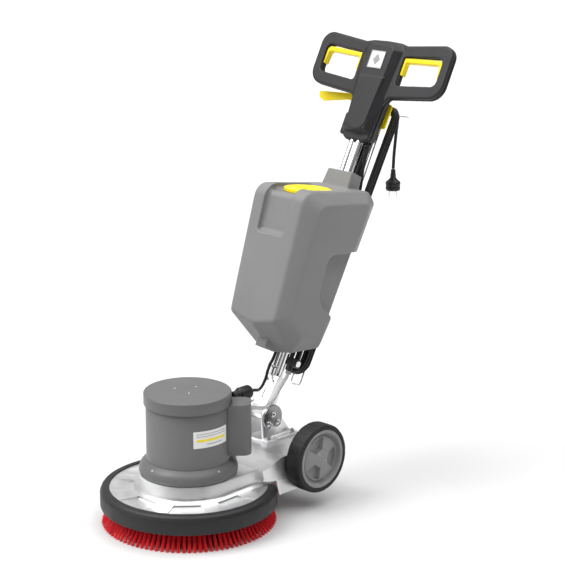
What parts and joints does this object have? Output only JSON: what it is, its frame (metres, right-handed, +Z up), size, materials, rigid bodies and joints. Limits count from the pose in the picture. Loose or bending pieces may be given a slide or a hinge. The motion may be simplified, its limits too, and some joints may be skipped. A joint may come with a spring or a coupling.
{
  "type": "single-disc floor burnisher",
  "caption": "Upright single-disc floor machine: motor on a round deck over a brush, folding handle with solution tank, twin grips, transport wheels and wound mains cord.",
  "frame": {"origin": "floor level, under the middle of the machine's bounding box", "axes": "+Z up, +Y towards the operator at the rear, +X to the operator's right"},
  "size_m": [0.448, 1.0332, 1.1214],
  "materials": {
    "polished_aluminium": "polished",
    "chrome": "polished",
    "steel": "machined",
    "copper": "wound copper wire",
    "motor_paint": "satin grey paint",
    "dark_paint": "satin dark paint",
    "tank_plastic": "fine texture",
    "head_plastic": "fine texture",
    "black_plastic": "moulded",
    "yellow_plastic": "moulded",
    "rim_plastic": "moulded",
    "rubber": "matt",
    "bumper_rubber": "matt",
    "bristle": "nylon tufts",
    "clear_hose": "clear",
    "label": "printed film"
  },
  "bodies": {
    "deck": {"deck_plate": "polished_aluminium", "bumper": "bumper_rubber", "motor_flange": "motor_paint", "motor_housing": "motor_paint", "motor_cap": "motor_paint", "end_shield": "steel", "upper_bearing": "steel", "stator_core": "steel", "winding_upper": "copper", "winding_lower": "copper", "lower_bearing": "steel", "gearbox_housing": "steel", "ring_gear": "steel", "output_bearing": "steel", "capacitor_box": "motor_paint", "capacitor": "black_plastic", "cable_boot": "black_plastic", "rating_label": "label", "axle": "steel", "hinge_base": "polished_aluminium", "hinge_pin": "steel", "hinge_plate_left": "dark_paint", "hinge_plate_right": "dark_paint", "water_hose": "clear_hose"},
    "brush": {"planet_carrier": "steel", "drive_plate": "steel", "brush_block": "black_plastic", "bristles": "bristle"},
    "rotor": {"rotor": "steel", "cooling_fan": "black_plastic"},
    "planet_1": {"planet_gear_1": "steel"},
    "planet_2": {"planet_gear_2": "steel"},
    "planet_3": {"planet_gear_3": "steel"},
    "wheel_left": {"wheel_rim_left": "rim_plastic", "wheel_tyre_left": "rubber"},
    "wheel_right": {"wheel_rim_right": "rim_plastic", "wheel_tyre_right": "rubber"},
    "handle": {"handle_foot": "polished_aluminium", "handle_tube_left": "chrome", "handle_tube_right": "chrome", "tank": "tank_plastic", "tank_valve": "black_plastic", "lower_cord_hook": "chrome", "upper_cord_hook": "chrome", "hook_clamp": "steel", "head_front_shell": "head_plastic", "head_rear_shell": "head_plastic", "name_badge": "label", "safety_switch": "black_plastic", "mains_gland": "black_plastic", "mains_lead": "black_plastic", "cord_hank": "black_plastic", "plug_lead": "black_plastic", "mains_plug": "black_plastic", "motor_cable": "black_plastic"},
    "left_switch": {"switch_lever_left": "yellow_plastic"},
    "right_switch": {"switch_lever_right": "yellow_plastic"},
    "release": {"release_lever": "yellow_plastic"},
    "lock": {"lock_rod": "steel"},
    "cap": {"tank_cap": "yellow_plastic"}
  },
  "joints": [
    {"name": "brush_spin", "type": "hinge", "parent": "deck", "child": "brush", "pos_m": [0, -0.2966, 0.07], "axis": [0, 0, 1], "continuous": true},
    {"name": "rotor_spin", "type": "hinge", "parent": "deck", "child": "rotor", "pos_m": [0, -0.2966, 0.23], "axis": [0, 0, 1], "continuous": true},
    {"name": "planet_spin_1", "type": "hinge", "parent": "brush", "child": "planet_1", "pos_m": [0.03562, -0.2966, 0.142], "axis": [0, 0, 1], "continuous": true},
    {"name": "planet_spin_2", "type": "hinge", "parent": "brush", "child": "planet_2", "pos_m": [-0.01781, -0.26575, 0.142], "axis": [0, 0, 1], "continuous": true},
    {"name": "planet_spin_3", "type": "hinge", "parent": "brush", "child": "planet_3", "pos_m": [-0.01781, -0.32745, 0.142], "axis": [0, 0, 1], "continuous": true},
    {"name": "wheel_spin_left", "type": "hinge", "parent": "deck", "child": "wheel_left", "pos_m": [-0.168, -0.0144, 0.1304], "axis": [1, 0, 0], "continuous": true},
    {"name": "wheel_spin_right", "type": "hinge", "parent": "deck", "child": "wheel_right", "pos_m": [0.168, -0.0144, 0.1304], "axis": [1, 0, 0], "continuous": true},
    {"name": "handle_tilt", "type": "hinge", "parent": "deck", "child": "handle", "pos_m": [0, -0.0326, 0.2164], "axis": [1, 0, 0], "range_deg": [-35, 26], "deforming": ["motor_cable", "water_hose"]},
    {"name": "left_switch_squeeze", "type": "hinge", "parent": "handle", "child": "left_switch", "pos_m": [-0.079, 0.42232, 1.07198], "axis": [0, 0.8829, -0.4695], "range_deg": [0, 2], "stiffness_Nm_per_rad": 12, "springref_deg": -1.15},
    {"name": "right_switch_squeeze", "type": "hinge", "parent": "handle", "child": "right_switch", "pos_m": [0.079, 0.42232, 1.07198], "axis": [0, -0.8829, 0.4695], "range_deg": [0, 2], "stiffness_Nm_per_rad": 12, "springref_deg": -1.15},
    {"name": "release_pull", "type": "hinge", "parent": "handle", "child": "release", "pos_m": [0.02, 0.38124, 0.92507], "axis": [0, 0.8829, -0.4695], "range_deg": [0, 6], "stiffness_Nm_per_rad": 6, "springref_deg": -2.86},
    {"name": "lock_rod_lift", "type": "slide", "parent": "handle", "child": "lock", "axis": [0, 0.4695, 0.8829], "range_m": [0, 0.009]},
    {"name": "tank_cap_lift", "type": "slide", "parent": "handle", "child": "cap", "axis": [0, 0.1063, 0.9943], "range_m": [0, 0.03]}
  ],
  "couplings": [
    {"joint": "rotor_spin", "follows": "brush_spin", "ratio": 9.5},
    {"joint": "planet_spin_1", "follows": "brush_spin", "ratio": -2.2667},
    {"joint": "planet_spin_2", "follows": "brush_spin", "ratio": -2.2667},
    {"joint": "planet_spin_3", "follows": "brush_spin", "ratio": -2.2667},
    {"joint": "lock_rod_lift", "follows": "release_pull", "m_per_rad": 0.0764}
  ]
}
